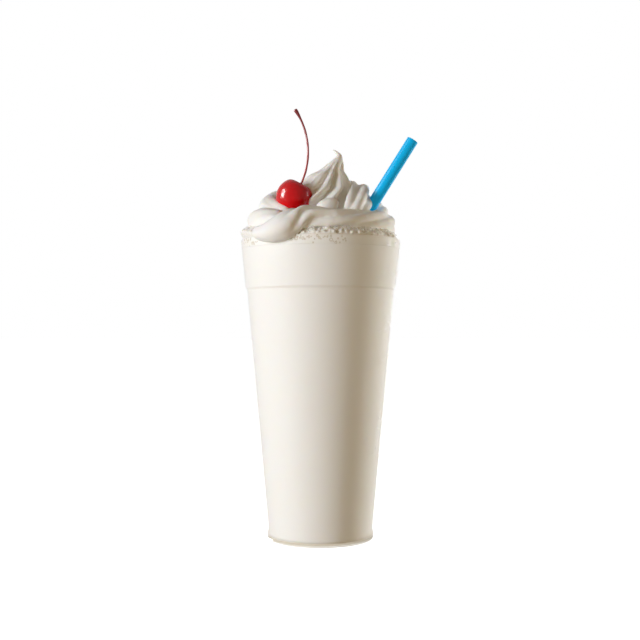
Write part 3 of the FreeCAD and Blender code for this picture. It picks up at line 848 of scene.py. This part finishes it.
# A ball whose radius falls near its axis: R - depth * exp(-(t / width)^2) at polar angle t,
# with a faint seam down one side, a shoulder higher on two sides and slow unevenness.
def makeCherry(size):
    full = size["radius"] - size["inset"]
    t = np.linspace(0, np.pi, size["rows"] + 2)[1:-1][:, None]
    a = np.arange(size["columns"]) * 2 * np.pi / size["columns"]
    fromSeam = np.sin((a - size["seamAngle"]) / 2) / size["seamWidth"]
    seam = size["seam"] * np.exp(-(fromSeam ** 2)) * np.sin(t)
    fromShoulder = (t - size["shoulderAngle"]) / size["shoulderWidth"]
    shoulder = size["shoulder"] * np.exp(-(fromShoulder ** 2))
    r = (full - size["dimple"] * np.exp(-((t / size["dimpleWidth"]) ** 2))
         + shoulder * (0.5 + 0.5 * np.cos(2 * a + size["shoulderTurn"])) - seam)
    ball = (cherryAside * (np.sin(t) * np.cos(a) * r)[..., None]
            + cherryBack * (np.sin(t) * np.sin(a) * r)[..., None]
            + cherryAxis * (np.cos(t) * r)[..., None])
    noise = softNoise(ball, size["unevenCell"], size["seed"])
    ball = ball * (1 + size["uneven"] * noise)[..., None]
    ends = [cherryAxis * (full - size["dimple"]), -cherryAxis * full]
    points = (np.vstack([ball.reshape(-1, 3), ends]) + cherryMiddle) * mm
    faces = [part[:, ::-1] for part in gridFaces(size["rows"], size["columns"])]
    return addPiece("cherry", points, faces, cherryLook, ["cherry"])


# A round section carried along an arc of the bend's radius from inside the dimple, a little
# uneven all the way, flared at the free end and blunt there.
def makeStem(size, fruit):
    share = np.linspace(0, 1, size["rows"])[:, None]
    turn = size["length"] * share / size["bend"]
    foot = cherryMiddle + cherryAxis * (fruit["radius"] - fruit["dimple"] - size["set"])
    path = (foot + cherryAxis * size["bend"] * np.sin(turn)
            - cherryAside * size["bend"] * (1 - np.cos(turn)))
    flare = np.clip((share - size["flareFrom"]) / size["flareSpan"], 0, 1)
    flare = flare * flare * (3 - 2 * flare)
    columns = size["columns"]
    a = np.arange(columns) * 2 * np.pi / columns
    radius = size["radius"] + (size["tip"] - size["radius"]) * flare
    radius = radius * (1 + 0.05 * np.sin(share * 37) + 0.04 * np.sin(3 * a + share * 9))
    radius[-1] *= size["blunt"]
    profile = np.stack([radius * np.cos(a), radius * np.sin(a)], -1)
    grid = carried(path, profile, (0, 1, 0))
    points = np.vstack([grid.reshape(-1, 3), path[:1], path[-1:]]) * mm
    along = np.concatenate([np.repeat(share, columns), [0, 1]])
    return addPiece("cherryStem", points, gridFaces(len(path), columns), stemLook,
                    ["cherry_stem"], {"along": along})


cherryPiece = makeCherry(cherry)
stemPiece = makeStem(stem, cherry)
print("cherry made")


strawLow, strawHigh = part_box("straw")
straw = {"lean": 32.0, "radius": (strawHigh.y - strawLow.y) / 2 / mm, "wall": 0.35,
         "edge": 0.12, "spacing": 2.0, "columns": 96}


# A closed loop of (radius, distance): down the outside and back up the bore, with small
# rounded edges at both ends, turned about the straw's leaning line.
def makeStraw(size):
    lean = math.radians(size["lean"])
    line = np.array([math.sin(lean), 0, math.cos(lean)])
    aside = np.array([math.cos(lean), 0, -math.sin(lean)])
    back = np.array([0.0, 1.0, 0.0])
    r = size["radius"]
    top = np.array([strawHigh.x / mm - r * math.cos(lean), (strawLow.y + strawHigh.y) / 2 / mm,
                    strawHigh.z / mm - r * math.sin(lean)])
    length = ((strawHigh.z - strawLow.z) / mm - 2 * r * math.sin(lean)) / math.cos(lean)
    bore = r - size["wall"]
    corners = [(r, 0, size["edge"]), (r, -length, size["edge"]),
               (bore, -length, size["edge"]), (bore, 0, size["edge"])]
    arcs = np.split(roundedOutline(corners, 5), 4)
    count = int(length / size["spacing"])
    outside = np.linspace(arcs[0][-1], arcs[1][0], count)[1:-1]
    inside = np.linspace(arcs[2][-1], arcs[3][0], count)[1:-1]
    loop = np.vstack([arcs[0], outside, arcs[1], arcs[2], inside, arcs[3]])
    rows, columns = len(loop), size["columns"]
    a = np.arange(columns) * 2 * np.pi / columns
    grid = (top + line * loop[:, None, 1:] + aside * (loop[:, :1] * np.cos(a))[..., None]
            + back * (loop[:, :1] * np.sin(a))[..., None])
    i, j = np.meshgrid(np.arange(rows), np.arange(columns), indexing="ij")
    ahead, below = (j + 1) % columns, (i + 1) % rows
    faces = np.stack([i * columns + j, below * columns + j,
                      below * columns + ahead, i * columns + ahead], -1).reshape(-1, 4)
    return addPiece("straw", grid.reshape(-1, 3) * mm, [faces], strawLook,
                    ["straw"])


strawPiece = makeStraw(straw)
print("straw made")


studio = {
    "background": 1.0, "gloss": 0.8, "horizon": (0.41, 0.305, 0.170),
    "above": 0.15, "below": 0.45,  # shares of the horizon's light
    "aim": 0.15,  # height on the glass's axis that every lamp faces
    "floor": {"reach": 6.0, "drop": 0.0001, "colour": (0.9, 0.9, 0.9, 1), "light": 0.97},
    "camera": {"place": (-0.0003, -0.594, 0.1228), "lens": 59.03, "sensor": 36, "near": 0.01},
    "key": {"power": 23.5, "colour": (0.83, 0.88, 0.95), "size": (0.5, 0.7),
            "bearing": -57.0, "height": 0.08, "distance": 1.25},
    "edge": {"power": 16.5, "colour": (0.90, 0.93, 0.93), "size": (0.35, 0.8),
             "bearing": 118.0, "height": 0.02, "distance": 1.0},
    "glint": {"power": 26.0, "colour": (1.0, 1.0, 1.0), "size": (0.28, 0.60),
              "bearing": -76.0, "height": 0.42, "distance": 0.8},
    "dewGlint": {"power": 32.0, "colour": (1.0, 1.0, 1.0), "size": (0.2, 0.5),
                 "bearing": 62.0, "height": 0.25, "distance": 0.9},
    "sideGlint": {"power": 2.0, "colour": (1.0, 1.0, 1.0), "size": (0.06, 0.4),
                  "bearing": 96.0, "height": 0.25, "distance": 0.9},
}


# A lamp on a circle round the glass, turned to the aim; the bearing runs from the front to
# the right. A glint only shows as a reflection on the pieces that it is given, and the
# others never show in a reflection.
def addLamp(name, size, aim, only=()):
    lamp = bpy.data.lights.new(name, "AREA")
    lamp.shape = "RECTANGLE"
    lamp.energy = size["power"]
    lamp.color = size["colour"]
    lamp.size, lamp.size_y = size["size"]
    holder = bpy.data.objects.new(name, lamp)
    scene.collection.objects.link(holder)
    away, distance = math.radians(size["bearing"]), size["distance"]
    holder.location = (distance * math.sin(away), -distance * math.cos(away), size["height"])
    tip = math.atan2(size["height"] - aim, distance)
    holder.rotation_euler = (math.pi / 2 - tip, 0, away)
    holder.visible_glossy = bool(only)
    holder.visible_diffuse = not only
    if only:
        lit = bpy.data.collections.new(name + "Lights")
        for piece in only:
            lit.objects.link(piece)
        holder.light_linking.receiver_collection = lit
    return holder


# The camera, and rays that pass through the glass, see plain white; reflections see an even
# pale grey; for all other rays the horizon is brightest.
def lightWorld(size):
    world = bpy.data.worlds.new("studio")
    scene.world = world
    shop = Shop(world)
    camera = shop.node("ShaderNodeLightPath", {}, {}, "Is Camera Ray")
    through = shop.node("ShaderNodeLightPath", {}, {}, "Is Transmission Ray")
    glossy = shop.node("ShaderNodeLightPath", {}, {}, "Is Glossy Ray")
    white = (size["background"],) * 3
    direction = shop.node("ShaderNodeTexCoord", {}, {}, "Generated")
    height = shop.node("ShaderNodeSeparateXYZ", {}, {"Vector": direction}, "Z")
    stops = [(place, tuple(share * part for part in size["horizon"]))
             for place, share in ((0.0, size["below"]), (1.0, size["above"]), (0.5, 1.0))]
    sky = shop.ramp(height * 0.5 + 0.5, stops)
    tone = shop.mixed(glossy, sky, (size["gloss"],) * 3 + (1,))
    tone = shop.mixed(camera.maths("MAXIMUM", camera, through), tone, (*white, 1))
    ground = shop.node("ShaderNodeBackground", {}, {"Color": tone})
    shop.node("ShaderNodeOutputWorld", {}, {"Surface": ground})


# A pale floor just under the glass, with light of its own so that it meets the background.
def layFloor(size):
    mesh = bpy.data.meshes.new("floor")
    reach, level = size["reach"], -size["drop"]
    mesh.from_pydata([(-reach, -reach, level), (reach, -reach, level),
                      (reach, reach, level), (-reach, reach, level)], [], [(0, 1, 2, 3)])
    floor = bpy.data.objects.new("floor", mesh)
    scene.collection.objects.link(floor)
    shop = newShop("paleFloor")
    mesh.materials.append(finish(shop, {
        "Base Color": size["colour"], "Roughness": 1.0, "Specular IOR Level": 0.0,
        "Emission Color": (1, 1, 1, 1), "Emission Strength": size["light"]}))
    floor.visible_diffuse = False
    floor.visible_glossy = False


def placeCamera(size):
    camera = bpy.data.objects.new("camera", bpy.data.cameras.new("camera"))
    scene.collection.objects.link(camera)
    camera.location = size["place"]
    camera.rotation_euler = (math.pi / 2, 0, 0)
    camera.data.lens = size["lens"]
    camera.data.sensor_width = size["sensor"]
    camera.data.clip_start = size["near"]
    scene.camera = camera


addLamp("key", studio["key"], studio["aim"])
addLamp("edge", studio["edge"], studio["aim"])
addLamp("glint", studio["glint"], studio["aim"], (cherryPiece, stemPiece, strawPiece))
addLamp("sideGlint", studio["sideGlint"], studio["aim"], (cherryPiece,))
addLamp("dewGlint", studio["dewGlint"], studio["aim"], (dewPiece,))
lightWorld(studio)
layFloor(studio["floor"])
placeCamera(studio["camera"])
print("studio ready")
